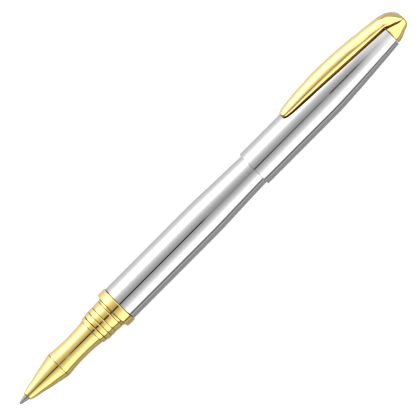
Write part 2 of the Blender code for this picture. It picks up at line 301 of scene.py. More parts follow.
def shape(name, mesh):
    """A mesh in the scene, with its origin on the pen's axis."""
    made = bpy.data.objects.new(name, mesh)
    bpy.context.collection.objects.link(made)
    made.location = (0, 0, AXIS_HEIGHT)
    return made


def place(station, radius, angle):
    """A point on a turned piece, in metres; the angle starts from straight up."""
    return (PEN_FRONT + station * MM, -radius * MM * sin(angle), radius * MM * cos(angle))


def turned(name, outline, sides=SIDES):
    """Turns a closed outline about the pen's axis."""
    bm = bmesh.new()
    base = softened(outline)
    columns = []
    for i in range(sides + 1):
        points = []
        for item in base:
            points += thread_points(item, i / sides) if isinstance(item, Thread) else [item]
        angle = 2 * pi * (i % sides) / sides
        columns.append([bm.verts.new(place(s, r, angle)) for s, r in points])
    on_axis = [r == 0 for _, r in points]
    for left, right in zip(columns, columns[1:]):
        for j, k in zip(range(-1, len(left) - 1), range(len(left))):
            if not (on_axis[j] and on_axis[k]):
                bm.faces.new((left[j], left[k], right[k], right[j]))
    return smooth(shape(name, finished_mesh(bm, name)))


def skinned(name, loops, painted_shade_strips=()):
    """Skins a row of equal point loops and closes both ends; the listed strips take the second material,
    which paints shade.
    """
    bm = bmesh.new()
    rings = [[bm.verts.new(co) for co in loop] for loop in loops]
    for first, second in zip(rings, rings[1:]):
        for j in range(len(first)):
            face = bm.faces.new((first[j - 1], first[j], second[j], second[j - 1]))
            face.material_index = int(j in painted_shade_strips)
    bm.faces.new(rings[0])
    bm.faces.new(rings[-1])
    return smooth(shape(name, finished_mesh(bm, name)))


def prism(name, corners, start, end):
    """A straight bar along the pen through (y, z) corners in mm, between two stations."""
    loops = [[(PEN_FRONT + s * MM, y * MM, z * MM) for y, z in corners] for s in (start, end)]
    return skinned(name, loops)


def combine(piece, other, operation):
    """Cuts the other shape from a piece, or joins it on, and removes it."""
    change = piece.modifiers.new("combine", "BOOLEAN")
    change.object = other
    change.operation = operation
    change.solver = "EXACT"
    bpy.context.view_layer.update()
    scene_now = bpy.context.evaluated_depsgraph_get()
    piece.data = bpy.data.meshes.new_from_object(piece.evaluated_get(scene_now))
    piece.modifiers.clear()
    bpy.data.objects.remove(other)
    return smooth(piece)


def stands_for(piece, node):
    """The piece takes the place, body and finish of a CAD node."""
    slot = SLOT_OF[node]
    if not piece.data.materials:
        piece.data.materials.append(LOOKS[slot])
    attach(piece, BODY_OF[node])
    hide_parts(node)
    return piece


# ---------------------------------------------------------------- materials


class NodeTree:
    """A node tree in the making, of a material or of the surroundings."""

    def __init__(self, owner):
        owner.use_nodes = True
        self.tree = owner.node_tree

    def set(self, node, socket, value):
        if isinstance(value, bpy.types.NodeSocket):
            self.tree.links.new(value, node.inputs[socket])
        else:
            node.inputs[socket].default_value = value

    def add(self, kind, sockets=None, **settings):
        node = self.tree.nodes.new("ShaderNode" + kind)
        for setting, value in settings.items():
            setattr(node, setting, value)
        for socket, value in (sockets or {}).items():
            self.set(node, socket, value)
        return node

    def spread(self, value, low, high, to_low=0.0, to_high=1.0, **settings):
        """A value stretched from one range to another, and kept inside it."""
        sockets = {
            "Value": value,
            "From Min": low,
            "From Max": high,
            "To Min": to_low,
            "To Max": to_high,
        }
        return self.add("MapRange", sockets, **settings).outputs["Result"]

    def maths(self, operation, first, second):
        return self.add("Math", {0: first, 1: second}, operation=operation).outputs[0]

    def blend(self, share, first, second, **settings):
        """A mix of two colours: a Mix node's colours are its inputs 6 and 7 and its output 2."""
        sockets = {0: share, 6: first, 7: second}
        return self.add("Mix", sockets, data_type="RGBA", **settings).outputs[2]


class Look(NodeTree):
    """A node material in the making; lengths in its patterns are in millimetres."""

    def __init__(self, name, **sockets):
        self.material = bpy.data.materials.new(name)
        super().__init__(self.material)
        self.shader = self.tree.nodes["Principled BSDF"]
        self.spot = self.add("TexCoord").outputs["Object"]
        for socket, value in sockets.items():
            self.set(self.shader, socket.replace("_", " "), value)

    def stretched(self, scale, turn=(0, 0, 0)):
        """Places on the piece in millimetres, stretched and turned."""
        sockets = {"Vector": self.spot, "Scale": [s / MM for s in scale], "Rotation": turn}
        return self.add("Mapping", sockets).outputs["Vector"]

    def noise(self, scale, detail=2.0, turn=(0, 0, 0), distortion=0.0):
        sockets = {
            "Vector": self.stretched(scale, turn),
            "Scale": 1.0,
            "Detail": detail,
            "Distortion": distortion,
        }
        return self.add("TexNoise", sockets).outputs["Fac"]

    def bump(self, height, depth, after=None):
        """Relief of a given depth in micrometres."""
        sockets = {"Height": height, "Distance": depth * 1e-6, "Strength": 1.0}
        if after is not None:
            sockets["Normal"] = after
        return self.add("Bump", sockets).outputs["Normal"]

    def finish(self, **sockets):
        for socket, value in sockets.items():
            self.set(self.shader, socket.replace("_", " "), value)
        return self.material


def colour(red, green, blue):
    return (red, green, blue, 1.0)


def scratches(look, turns):
    """Sparse fine scratches that run in several directions, as a mask."""
    faint, deep = 0.69, 0.75
    total = None
    for i, turn in enumerate(turns):
        thinness = 9 + 2 * i
        line = look.noise((0.3, thinness, thinness), 3.0, (turn, turn * 0.7, turn), 0.4)
        mask = look.spread(line, faint, deep)
        total = mask if total is None else look.maths("MAXIMUM", total, mask)
    return total


def edges(look, amount):
    """A mask of the convex edges, broken up by noise, where plating is rubbed."""
    nearly_flat, sharp, least_rub = 0.53, 0.62, 0.3
    convex = look.spread(look.add("NewGeometry").outputs["Pointiness"], nearly_flat, sharp)
    patches = look.spread(look.noise((0.9, 0.9, 0.9), 5.0), 0.35, 0.65, least_rub, 1.0)
    return look.maths("MULTIPLY", look.maths("MULTIPLY", convex, patches), amount)


def recess_shade_and_grime(look, reach):
    """A mask of grooves, hollows and gaps next to other parts, within reach in millimetres: painted
    shade there, which also stands for grime.
    """
    closed, nearly_open = 0.30, 0.85
    open_sky = look.add("AmbientOcclusion", {"Distance": reach * MM}, samples=8).outputs["AO"]
    return look.spread(open_sky, closed, nearly_open, 1.0, 0.0)


def roughened(look, roughness, mask, amount):
    """The roughness with an amount more of it where the mask is full."""
    return look.maths("ADD", roughness, look.spread(mask, 0.0, 1.0, 0.0, amount))


def polished(name, base, worn, gloss, turning, depth, shade_and_grime=None, lacquer=0.0):
    """A polished plated metal: faint turning lines, hairline scratches, smears and rubbed edges.

    More turning packs the lines closer, and depth is theirs in micrometres.
    """
    smeared_gloss, most_tint, scratch_share, shade_and_grime_reach = gloss * 2.2, 0.35, 0.8, 0.7
    look = Look(name, Metallic=1.0, Coat_Weight=lacquer, Coat_Roughness=0.02)
    lines = look.noise((turning, 0.25, 0.25), 2.0)
    hairs = scratches(look, (0.15, 1.1, 2.2))
    smears = look.spread(look.noise((0.12, 0.3, 0.3), 4.0, distortion=0.8), 0.35, 0.75)
    rubbed = edges(look, 0.7)
    cloud = look.spread(look.noise((0.05, 0.2, 0.2), 3.0), 0.3, 0.7, 0.0, most_tint)
    roughness = look.spread(smears, 0.0, 1.0, gloss, smeared_gloss)
    roughness = roughened(look, roughness, hairs, 0.16)
    roughness = roughened(look, roughness, rubbed, 0.10)
    relief = look.bump(lines, depth)
    relief = look.bump(hairs, -scratch_share * depth, relief)
    shade = look.blend(rubbed, look.blend(cloud, base, worn), worn)
    # Painted shade: grooves and gaps next to other parts are darkened towards brown, partly as grime.
    if shade_and_grime:
        shade_and_grime_mask = recess_shade_and_grime(look, shade_and_grime_reach)
        shade = look.blend(shade_and_grime_mask, shade, shade_and_grime)
        roughness = roughened(look, roughness, shade_and_grime_mask, 0.3)
    return look.finish(Base_Color=shade, Roughness=roughness, Normal=relief)


def gold(name, base, worn):
    """Polished gold plate under clear lacquer, with painted shade and some brown grime in its grooves
    and gaps.
    """
    shade_and_grime = colour(0.10, 0.045, 0.008)
    return polished(name, base, worn, 0.022, 26, 0.22, shade_and_grime, 0.8)


def turned_metal(name, base, dark, rough, rows, depth):
    """A plain machined metal with visible turning rings, tarnish in patches and bright edges."""
    look = Look(name, Metallic=1.0)
    rings = look.noise((rows, 0.4, 0.4), 3.0)
    tarnish = look.spread(look.noise((0.8, 0.8, 0.8), 5.0, distortion=0.5), 0.4, 0.7)
    bright = edges(look, 0.8)
    shade = look.blend(look.spread(tarnish, 0, 1, 0, 0.6), base, dark)
    roughness = look.spread(rings, 0.3, 0.7, rough, rough * 1.5)
    roughness = look.maths("SUBTRACT", roughness, look.spread(bright, 0, 1, 0, rough * 0.4))
    return look.finish(
        Base_Color=look.blend(bright, shade, base),
        Roughness=roughness,
        Normal=look.bump(rings, depth),
    )


def drawn_wire(name):
    """Spring wire with drawing lines and a faint oil film."""
    look = Look(name, Metallic=1.0, Coat_Weight=0.15, Coat_Roughness=0.2)
    grain = look.noise((14, 14, 14), 4.0)
    film = look.spread(look.noise((0.7, 0.7, 0.7), 3.0), 0.4, 0.65)
    return look.finish(
        Base_Color=look.blend(film, colour(0.55, 0.55, 0.57), colour(0.42, 0.40, 0.38)),
        Roughness=look.spread(grain, 0.3, 0.7, 0.22, 0.38),
        Normal=look.bump(grain, 1.5),
    )


def moulded(name, base, worn, rough, depth, grain=9.0):
    """A moulded plastic: fine spark-eroded grain, flow marks and edges rubbed a little shiny."""
    look = Look(name, IOR=1.49)
    texture = look.noise((grain, grain, grain), 6.0)
    marks = look.spread(look.noise((0.15, 0.6, 0.6), 4.0, distortion=1.2), 0.35, 0.7)
    rubbed = edges(look, 0.8)
    shade = look.blend(look.spread(marks, 0, 1, 0, 0.5), base, worn)
    roughness = look.spread(texture, 0.3, 0.7, rough * 0.85, rough * 1.15)
    roughness = look.maths("SUBTRACT", roughness, look.spread(rubbed, 0, 1, 0, rough * 0.3))
    relief = look.bump(texture, depth)
    return look.finish(
        Base_Color=look.blend(rubbed, shade, worn),
        Roughness=roughness,
        Normal=look.bump(marks, depth * 0.5, relief),
    )


def fibre(name):
    """Bonded fibre: long strands soaked with blue-black ink."""
    look = Look(name, Sheen_Weight=0.3, Sheen_Roughness=0.5)
    strands = look.noise((0.5, 16, 16), 5.0, distortion=0.3)
    soaked = look.spread(look.noise((0.2, 0.6, 0.6), 3.0), 0.35, 0.7)
    ink, pale = colour(0.012, 0.018, 0.09), colour(0.05, 0.07, 0.26)
    return look.finish(
        Base_Color=look.blend(look.maths("MULTIPLY", strands, soaked), ink, pale),
        Roughness=look.spread(soaked, 0, 1, 0.9, 0.6),
        Normal=look.bump(strands, 30),
    )


def rubber(name):
    """Moulded rubber with a dusty bloom."""
    look = Look(name, IOR=1.52)
    grain = look.noise((12, 12, 12), 6.0)
    bloom = look.spread(look.noise((1.2, 1.2, 1.2), 5.0), 0.4, 0.75)
    return look.finish(
        Base_Color=look.blend(bloom, colour(0.014, 0.014, 0.015), colour(0.04, 0.04, 0.042)),
        Roughness=look.spread(grain, 0.3, 0.7, 0.55, 0.8),
        Normal=look.bump(grain, 6),
    )


LOOKS = {
    "gold_plate": gold(
        "gold_plate", colour(0.92, 0.67, 0.17), colour(0.94, 0.74, 0.30)
    ),
    "clip_gold_plate": gold(
        "clip_gold_plate", colour(0.93, 0.69, 0.205), colour(0.94, 0.75, 0.32)
    ),
    "chrome_plate": polished(
        "chrome_plate", colour(0.62, 0.62, 0.624), colour(0.59, 0.59, 0.60), 0.022, 18, 0.20
    ),
    # Painted shade: a near-black brown for the clip's feet and underside, standing for the shade there
    # rather than for bare brass.
    "painted_clip_shade": turned_metal(
        "painted_clip_shade", colour(0.20, 0.09, 0.012), colour(0.11, 0.045, 0.007), 0.34, 6, 3.0
    ),
    "brass": turned_metal(
        "brass", colour(0.80, 0.60, 0.27), colour(0.52, 0.36, 0.15), 0.24, 11, 2.0
    ),
    "tip_metal": turned_metal(
        "tip_metal", colour(0.34, 0.34, 0.34), colour(0.24, 0.24, 0.24), 0.34, 24, 1.6
    ),
    "spring_steel": drawn_wire("spring_steel"),
    "fastener_steel": turned_metal(
        "fastener_steel", colour(0.56, 0.56, 0.57), colour(0.36, 0.35, 0.35), 0.30, 8, 2.5
    ),
    "black_plastic": moulded(
        "black_plastic", colour(0.018, 0.018, 0.020), colour(0.035, 0.035, 0.038), 0.42, 5
    ),
    "refill_plastic": moulded(
        "refill_plastic", colour(0.74, 0.74, 0.71), colour(0.82, 0.82, 0.80), 0.30, 2, 5.0
    ),
    "liner_plastic": moulded(
        "liner_plastic", colour(0.10, 0.10, 0.105), colour(0.16, 0.16, 0.165), 0.50, 7
    ),
    "ink_fibre": fibre("ink_fibre"),
    "rubber": rubber("rubber"),
}


# ---------------------------------------------------------------- the writing end

BEAD_SHOULDER = 0.16
BEAD_STEPS = 6


def bead(start, end, foot, front, back):
    """A bead with round shoulders between two stations, its crest straight from front to back."""
    shoulder = BEAD_SHOULDER * (end - start)
    rise = bend((start, foot), (start, front), (start + shoulder, front), BEAD_STEPS)
    fall = bend((end - shoulder, back), (end, back), (end, foot), BEAD_STEPS)
    return [(*p, 0) for p in rise + fall]


def make_nose_cone():
    outside = [
        (NOSE_FRONT, 1.18),
        (NOSE_FRONT, 1.30),
        Run([
            (3.36, 1.52), (5.04, 1.96), (6.72, 2.28), (8.4, 2.69), (10.1, 3.09),
            (11.8, 3.42), (13.4, 3.77), (15.1, 4.12), (NOSE_SEAM - 0.1, 4.18),
        ]),
    ]
    inside = [
        (NOSE_SEAM - 0.08, 3.62),
        (14.0, 3.62),
        (14.0, 3.3),
        (13.4, 3.3),
        (8.4, 2.25),
        (6.1, 1.6),
        (6.1, 1.18),
    ]
    stands_for(turned("fine_nose_cone", outside + inside), "nose_cone")


def make_grip_section():
    waist = Run([
        (NOSE_SEAM + 0.06, 4.16), (16.8, 4.07), (18.5, 3.89), (20.2, 3.78), (21.8, 3.75),
        (23.5, 3.76), (25.2, 3.81), (26.9, 3.93), (28.0, 4.05), (28.82, 4.17),
    ])
    beads = (
        [(28.84, 4.10), (28.97, 4.10)]
        + bead(29.0, 30.34, 4.30, 4.48, 4.62)
        + bead(30.48, 32.0, 4.56, 4.78, 4.85)
        + bead(32.14, 33.68, 4.60, 4.83, 4.79)
        + bead(33.82, 36.14, 4.70, 4.79, 4.90)
        + bead(36.28, 36.9, 4.80, 4.98, 5.05)
    )
    tenon = [
        (36.9, SEAT_RADIUS),
        (40.1, SEAT_RADIUS),
        (40.35, 4.05),
        (41.35, 4.05),
        (41.35, 4.35),
        (41.75, 4.35),
        (41.85, THREAD_ROOT),
        Thread(THREAD_START, THREAD_END, THREAD_ROOT, THREAD_CREST),
        (TENON_END - 0.2, THREAD_ROOT),
        (TENON_END, 3.7),
    ]
    bore = [
        (TENON_END, SECTION_BORE),
        (14.15, SECTION_BORE),
        (14.15, 3.55),
        (NOSE_SEAM + 0.05, 3.55),
    ]
    outline = [waist, *beads, *tenon, *bore]
    stands_for(turned("fine_grip_section", outline), "grip_section")


def make_collar():
    outline = [
        (COLLAR_BACK, SEAT_RADIUS + FIT_GAP),
        (COLLAR_FRONT + 0.15, SEAT_RADIUS + FIT_GAP),
        (COLLAR_FRONT, 5.1),
        (COLLAR_FRONT, COLLAR_RADIUS, 0.85),
        (COLLAR_BACK, COLLAR_RADIUS, 0.16),
    ]
    stands_for(turned("fine_collar_ring", outline), "collar_ring")


def make_o_ring():
    ring = arc((40.85, 4.45), 0.33, 0, 342, 19)
    stands_for(turned("fine_thread_o_ring", ring), "thread_o_ring")


# ---------------------------------------------------------------- the refill


def make_refill_tip():
    ball_play = 0.035
    socket = BALL_RADIUS + ball_play
    cup = arc((BALL_RADIUS, 0), socket, 40, 113)
    tip = [
        *cup,
        (cup[-1][0], 0.43, 0.02),
        (3.0, TIP_RADIUS, 0.3),
        (9.0, TIP_RADIUS),
        (9.0, 0.6),
        (3.3, 0.6),
        (3.0, cup[0][1]),
    ]
    stands_for(turned("fine_refill_tip", tip, 96), "refill_tip")


def make_refill():
    nose = [
        (6.5, TIP_RADIUS + FIT_GAP),
        (6.5, 1.5, 0.15),
        Run([(8.4, 1.95), (12.0, 2.5), (15.6, 2.85)]),
        (16.2, 2.9),
        (16.2, 2.55),
        (19.0, 2.55),
        (19.0, 0.65),
        (9.1, 0.65),
        (9.1, TIP_RADIUS + FIT_GAP),
    ]
    stands_for(turned("fine_refill_nose", nose, 96), "refill_nose")

    feed = [(4.0, 0), (4.0, 0.5), (25.0, 0.5), (25.0, 0)]
    stands_for(turned("fine_ink_feed", feed, 48), "ink_feed")

    inside = REFILL_RADIUS - REFILL_WALL
    tube = [(16.35, inside), (16.35, REFILL_RADIUS), (110.3, REFILL_RADIUS), (110.3, inside)]
    stands_for(turned("fine_refill_tube", tube, 96), "refill_tube")

    filler = [
        (25.6, 0), (25.6, 0.65), (19.4, 0.65), (19.4, 2.5), (104.0, 2.5), (104.0, 0),
    ]
    stands_for(turned("fine_ink_reservoir", filler, 72), "ink_reservoir")

    plug = [
        (106.0, 0.4),
        (106.0, 2.55),
        (110.4, 2.55),
        (110.4, REFILL_RADIUS),
        (REFILL_END, REFILL_RADIUS, 0.25),
        (REFILL_END, 0.4),
    ]
    stands_for(turned("fine_refill_plug", plug, 96), "refill_plug")


def make_ball():
    """The writing ball; the pen's axis runs through its poles."""
    steps = 24
    turns = [pi * i / steps for i in range(1, steps)]
    ball = [(BALL_RADIUS - BALL_RADIUS * cos(a), BALL_RADIUS * sin(a), 0) for a in turns]
    ball = [(0.0, 0, 0), *ball, (2 * BALL_RADIUS, 0, 0)]
    stands_for(turned("fine_writing_ball", ball, 48), "writing_ball")


# ---------------------------------------------------------------- the barrel

BARREL_TAPER = [
    (60.0, BARREL_RADIUS), (69.0, BARREL_RADIUS), (73.4, 5.73), (78.0, 5.60),
    (84.0, 5.37), (92.4, 5.10), (103.0, 4.76), (BARREL_END, 4.36),
]


def make_barrel():
    inside = [(s, r - TUBE_WALL) for s, r in reversed(BARREL_TAPER)]
    outline = [
        (BARREL_FRONT, BARREL_RADIUS - 0.12),
        (BARREL_FRONT + 0.12, BARREL_RADIUS, 0.1),
        Run(BARREL_TAPER),
        Run(inside),
        (BARREL_FRONT, BARREL_RADIUS - TUBE_WALL),
    ]
    stands_for(turned("fine_barrel_tube", outline), "barrel_tube")


def make_bush():
    root = THREAD_CREST + THREAD_PLAY
    outside = BARREL_RADIUS - TUBE_WALL - FIT_GAP
    outline = [
        (40.3, 4.9),
        (40.3, outside),
        (49.0, outside),
        (49.0, root),
        Thread(THREAD_END + 1, THREAD_START, root, THREAD_ROOT + THREAD_PLAY),
        (41.8, root),
        (41.6, 4.9),
    ]
    stands_for(turned("fine_thread_bush", outline), "thread_bush")


def make_end_plug():
    flange = BARREL_TAPER[-1][1] - 0.05
    outline = [
        (113.75, 0),
        (113.75, 3.75),
        (BARREL_END + 0.1, 3.75),
        (BARREL_END + 0.1, flange),
        (PLUG_END, flange, 0.4),
        (PLUG_END, 0),
    ]
    stands_for(turned("fine_barrel_end_plug", outline), "barrel_end_plug")


def make_spring():
    """A coil of round wire with closed ends."""
    wire, radius, rise, turns, steps, around = 0.2, 2.2, 0.57, 3, 48, 16
    start = REFILL_END + 0.2 + wire
    loops = []
    for i in range(turns * steps + 1):
        angle = 2 * pi * i / steps
        loop = []
        for k in range(around):
            turn = 2 * pi * k / around
            out, along = radius + wire * cos(turn), start + rise * i / steps + wire * sin(turn)
            loop.append((PEN_FRONT + along * MM, out * MM * sin(angle), out * MM * cos(angle)))
        loops.append(loop)
    stands_for(skinned("fine_refill_spring", loops), "refill_spring")


# ---------------------------------------------------------------- the cap

CAP_TAPER = [
    (116.0, BARREL_RADIUS), (121.0, BARREL_RADIUS), (CAP_STRAIGHT_END, 5.70), (126.0, 5.55),
    (131.0, 5.24), (136.0, 4.88), (141.0, 4.48), (144.5, 4.185), (CAP_END, 4.0),
]


def between(table, station):
    """A radius read from (station, radius) rows, straight between them."""
    for (s0, r0), (s1, r1) in zip(table, table[1:]):
        if station <= s1:
            return r0 + (r1 - r0) * max(station - s0, 0) / (s1 - s0)
    return table[-1][1]


def make_cap_tube():
    flange_station = CAP_END - 0.9
    screw_hole = 1.15
    lip = 0.12
    inside = [(s, r - TUBE_WALL) for s, r in reversed(CAP_TAPER[:-1])]
    outline = [
        (CAP_LIP, BARREL_RADIUS - lip),
        (CAP_LIP + lip, BARREL_RADIUS, 0.1),
        Run(CAP_TAPER),
        (CAP_END, screw_hole),
        (flange_station, screw_hole),
        (flange_station, between(CAP_TAPER, flange_station) - TUBE_WALL),
        Run(inside),
        (CAP_LIP, BARREL_RADIUS - TUBE_WALL),
    ]
    stands_for(turned("fine_cap_tube", outline), "cap_tube")


def make_inner_cap():
    mouth, end = stations("inner_cap")
    gap = TUBE_WALL + FIT_GAP
    lining = [(s, r - gap) for s, r in CAP_TAPER if CAP_STRAIGHT_END <= s <= 141.0]
    liner = [
        (mouth, BARREL_RADIUS - gap),
        Run([(116.0, BARREL_RADIUS - gap), *lining]),
        (end, between(CAP_TAPER, end) - gap),
        (end, 0),
        (140.3, 0),
        (140.3, 3.4),
        (136.0, 3.8),
        (130.5, 4.3),
        (PLUG_END, 4.3),
        (114.6, 4.55),
        (mouth, 4.75),
    ]
    stands_for(turned("fine_inner_cap", liner, 96), "inner_cap")


def make_cap_fixings():
    washer = [(144.95, 1.25), (144.95, 2.1), (145.45, 2.1), (145.45, 1.25)]
    stands_for(turned("fine_lock_washer", washer, 72), "lock_washer")
    head = 2.0
    outline = [
        (143.4, 0),
        (143.4, head, 0.15),
        (144.8, head),
        (144.8, 1.0),
        (150.4, 1.0),
        (150.6, 0.8),
        (150.6, 0),
    ]
    hexagon = [(cos(i * pi / 3), sin(i * pi / 3)) for i in range(6)]
    socket = prism("socket", hexagon, 143.0, 144.4)
    screw = combine(turned("fine_crown_screw", outline, 72), socket, "DIFFERENCE")
    stands_for(screw, "crown_screw")


CROWN_SHAPE = [
    (146.75, 3.80), (147.3, 3.74), (148.4, 3.47), (149.5, 3.05), (150.6, 2.56),
    (151.3, 2.26), (151.9, 1.97), (152.3, 1.55), (152.5, 1.05), (POSTED_LENGTH, 0.5),
]


def make_crown():
    """A bullet with a recess for the clip's tang, a slot to let it in, and a screw hole."""
    slot_start, slot_end = 146.0, TANG_BACK + CLIP_CLEARANCE
    slot_floor, slot_top, slot_play = 2.0, 6.0, 0.12
    outline = [
        Run(CROWN_SHAPE),
        (POSTED_LENGTH, 0),
        (151.0, 0),
        (151.0, 1.1),
        (slot_end, 1.1),
        (slot_end, 3.0),
        (146.75, 3.0),
    ]
    half = TANG_HALF_WIDTH + slot_play
    corners = [(-half, slot_floor), (half, slot_floor), (half, slot_top), (-half, slot_top)]
    cutter = prism("slot", corners, slot_start, slot_end)
    cutter.rotation_euler = (-CLIP_CLOCK, 0, 0)
    stands_for(combine(turned("fine_crown", outline), cutter, "DIFFERENCE"), "crown")


# ---------------------------------------------------------------- the clip


class ClipSection(NamedTuple):
    """The clip's section at a station: half width, and heights over the pen's axis."""

    station: float
    half_width: float
    crest: float
    edge: float
    foot: float


CLIP_SECTIONS = [
    ClipSection(CLIP_TIP, 0.60, 6.55, 6.38, 5.98),
    ClipSection(109.1, 1.00, 6.85, 6.55, 5.92),
    ClipSection(109.6, 1.34, 7.12, 6.70, 5.87),
    ClipSection(110.6, 1.62, 7.40, 6.88, 5.84),
    ClipSection(112.6, 1.88, 7.70, 7.02, 5.82),
    ClipSection(115.9, 2.10, 8.02, 7.20, 5.82),
    ClipSection(119.3, 2.30, 8.26, 7.32, 5.74),
    ClipSection(123.2, 2.45, 8.42, 7.40, 5.62),
    ClipSection(127.7, 2.50, 8.33, 7.28, 5.34),
    ClipSection(131.0, 2.50, 8.14, 7.10, 5.10),
    ClipSection(135.8, 2.45, 7.72, 6.72, 4.78),
    ClipSection(141.1, 2.38, 7.05, 6.10, 4.48),
    ClipSection(144.5, 2.35, 6.62, 5.72, 4.32),
    ClipSection(146.6, 2.35, 6.28, 5.40, 4.22),
    ClipSection(147.3, 2.42, 6.12, 5.26, 4.00),
    ClipSection(148.0, 2.46, 5.92, 5.08, 0),
    ClipSection(149.5, 2.46, 5.36, 4.50, 0),
    ClipSection(150.6, 2.42, 4.62, 3.76, 0),
    ClipSection(151.3, 2.36, 3.96, 3.14, 0),
    ClipSection(151.9, 2.20, 3.18, 2.44, 0),
    ClipSection(152.3, 1.85, 2.42, 1.92, 0),
    ClipSection(152.5, 1.30, 1.90, 1.62, 0),
]

# Fineness of the clip, and how many strips up each foot take the painted shade
HEM_STEPS = 8
ROLL_STEPS = 14
BACK_STEPS = 16
UNDER_STEPS = 8
SHADED_STEPS = 7

# The clip's section, in mm
HOOD_GAP = 0.2
HEEL_GAP = 0.06
LEAST_FOOT = 0.2
CREST_DROP = 0.12
LEAST_HOLLOW = 0.08
LEAST_ROOF_EDGE = 0.04
# The clip's section, in shares of its half width, heights and wall
SWELL = 1.17
FOOT_DROP = 0.2
WAIST = 0.47
SHOULDER = 0.84
ROLL_LEAVE = 0.30
ROLL_ARRIVE = 0.62
HEM_INSET = 0.55
HEM_REACH = 0.3
TUCK_REACH = 0.55


def with_foot(section):
    """A section over the crown stands clear of the crown's round."""
    if section.foot:
        return section
    inner = section.half_width - CLIP_SHEET
    reach = between(CROWN_SHAPE, section.station) + CLIP_CLEARANCE + HOOD_GAP
    return section._replace(foot=sqrt(max(reach**2 - inner**2, LEAST_FOOT**2)))


def clip_wall(half, wall, foot, waist_height, top, lean):
    """One side of a section, from its foot to its back: it swells to its waist and rolls over."""
    waist = Vector((-half * SWELL, waist_height))
    drop = top.y - waist.y
    arrive = top - lean * ROLL_ARRIVE * drop
    roll = cubic(waist, waist + Vector((0, ROLL_LEAVE * drop)), arrive, top, ROLL_STEPS)
    hem = Vector((waist.x + HEM_INSET * wall, foot))
    tuck = waist - Vector((0, TUCK_REACH * (waist.y - foot)))
    side = cubic(hem, hem - Vector((HEM_REACH * wall, 0)), tuck, waist, HEM_STEPS)
    return side[:-1] + roll


def clip_hollow(station, inner, foot, crest, rise):
    """The underside of a section: a bowed roof between two heels that stand clear of the cap."""
    roof = max(crest - CLIP_SHEET, foot + LEAST_HOLLOW)
    roof_rise = min(rise, roof - foot - LEAST_ROOF_EDGE)
    heel = foot
    if station < CAP_END:
        reach = between(CAP_TAPER, station) + HEEL_GAP
        heel = max(foot, sqrt(reach**2 - inner**2))
    spots = [b / UNDER_STEPS for b in range(UNDER_STEPS, -UNDER_STEPS - 1, -1)]
    under = [(inner * spot, roof - roof_rise * spot**2) for spot in spots]
    return [(inner, heel)] + under + [(-inner, heel)]


def clip_loop(row):
    """One section of the clip: a crowned back that rolls round into two walls over a hollow."""
    station, half, crest, edge, foot = row
    foot -= FOOT_DROP * (edge - foot)
    crest -= CREST_DROP
    edge -= CREST_DROP
    wall = min(CLIP_SHEET, half / 2)
    rise = crest - edge

    def back(share):
        return Vector((half * share, crest - rise * share * share))

    lean = Vector((1, 2 * rise * SHOULDER / half)).normalized()
    left = clip_wall(half, wall, foot, foot + WAIST * (edge - foot), back(-SHOULDER), lean)
    spots = [2 * b / (BACK_STEPS + 2) - 1 for b in range(1, BACK_STEPS + 2)]
    middle_back = [back(SHOULDER * spot) for spot in spots]
    right = [(-y, z) for y, z in reversed(left)]
    loop = left + middle_back + right + clip_hollow(station, half - wall, foot, crest, rise)
    return [(PEN_FRONT + station * MM, y * MM, z * MM) for y, z in loop]


def make_clip():
    """The sprung clip: a channel from its tip to the end of the crown, with a tang inside."""
    rows = flow([with_foot(section) for section in CLIP_SECTIONS])
    loops = [clip_loop(row) for row in rows]
    outside = 2 * (HEM_STEPS + ROLL_STEPS + 1) + BACK_STEPS
    # Painted shade: the strips up each foot and the whole underside take the dark second material.
    shaded_strips = [*range(SHADED_STEPS + 1), *range(outside + 1 - SHADED_STEPS, len(loops[0]))]
    clip = skinned("fine_clip", loops, shaded_strips)
    clip.data.materials.append(LOOKS["clip_gold_plate"])
    clip.data.materials.append(LOOKS["painted_clip_shade"])

    ring, hole, half, tang_top = 2.6, 1.6, TANG_HALF_WIDTH, 5.58
    joins = sqrt(ring**2 - half**2)
    first = pi / 2 + half / ring
    sweep = 2 * pi - 2 * half / ring
    turns = [first + sweep * i / 60 for i in range(1, 60)]
    rim = [(ring * cos(a), ring * sin(a)) for a in turns]
    corners = [(half, tang_top), (-half, tang_top), (-half, joins), *rim, (half, joins)]
    tang = prism("tang", corners, TANG_FRONT, TANG_BACK)
    circle = [(hole * cos(i * pi / 32), hole * sin(i * pi / 32)) for i in range(64)]
    tang = combine(tang, prism("drill", circle, TANG_FRONT - 1, TANG_BACK + 1), "DIFFERENCE")
    combine(clip, tang, "UNION")
    clip.data.transform(Matrix.Rotation(-CLIP_CLOCK, 4, "X"))
    stands_for(clip, "clip")


# ---------------------------------------------------------------- the studio

# The camera looks down from overhead, turned about the line of sight, and leans along the pen
VIEW_TURN = radians(45.09)
VIEW_TILT = radians(2)
VIEW_DISTANCE = 1.0
VIEW_WIDTH = 0.1176
SENSOR = 36.0
CLIP_SIDE_SHIFT = 0.00061

# Brightness of the studio round the pen, by degrees from overhead; plus is the clip's side.
# A soft box stands on each side with grey between them, and the one on the clip's side is brighter.
# A thin dark gap runs just below the horizon on the other side.
STUDIO = [
    (-180, 0.38), (-125, 0.41), (-112, 0.49), (-104, 0.64), (-98, 0.50), (-97, 0.02), (-91, 0.02),
    (-89, 0.9), (-84, 1.35), (-72, 1.95), (-56, 1.9), (-46, 1.5), (-40, 1.2), (-34, 1.0),
    (-28, 0.88), (-17, 0.66), (-3, 0.44), (11, 0.55), (22, 0.71), (34, 0.93), (40, 1.13), (46, 1.5),
    (58, 2.8), (66, 3.3), (80, 3.3), (88, 2.1), (96, 1.42), (103, 1.16), (120, 0.95), (180, 0.44),
]
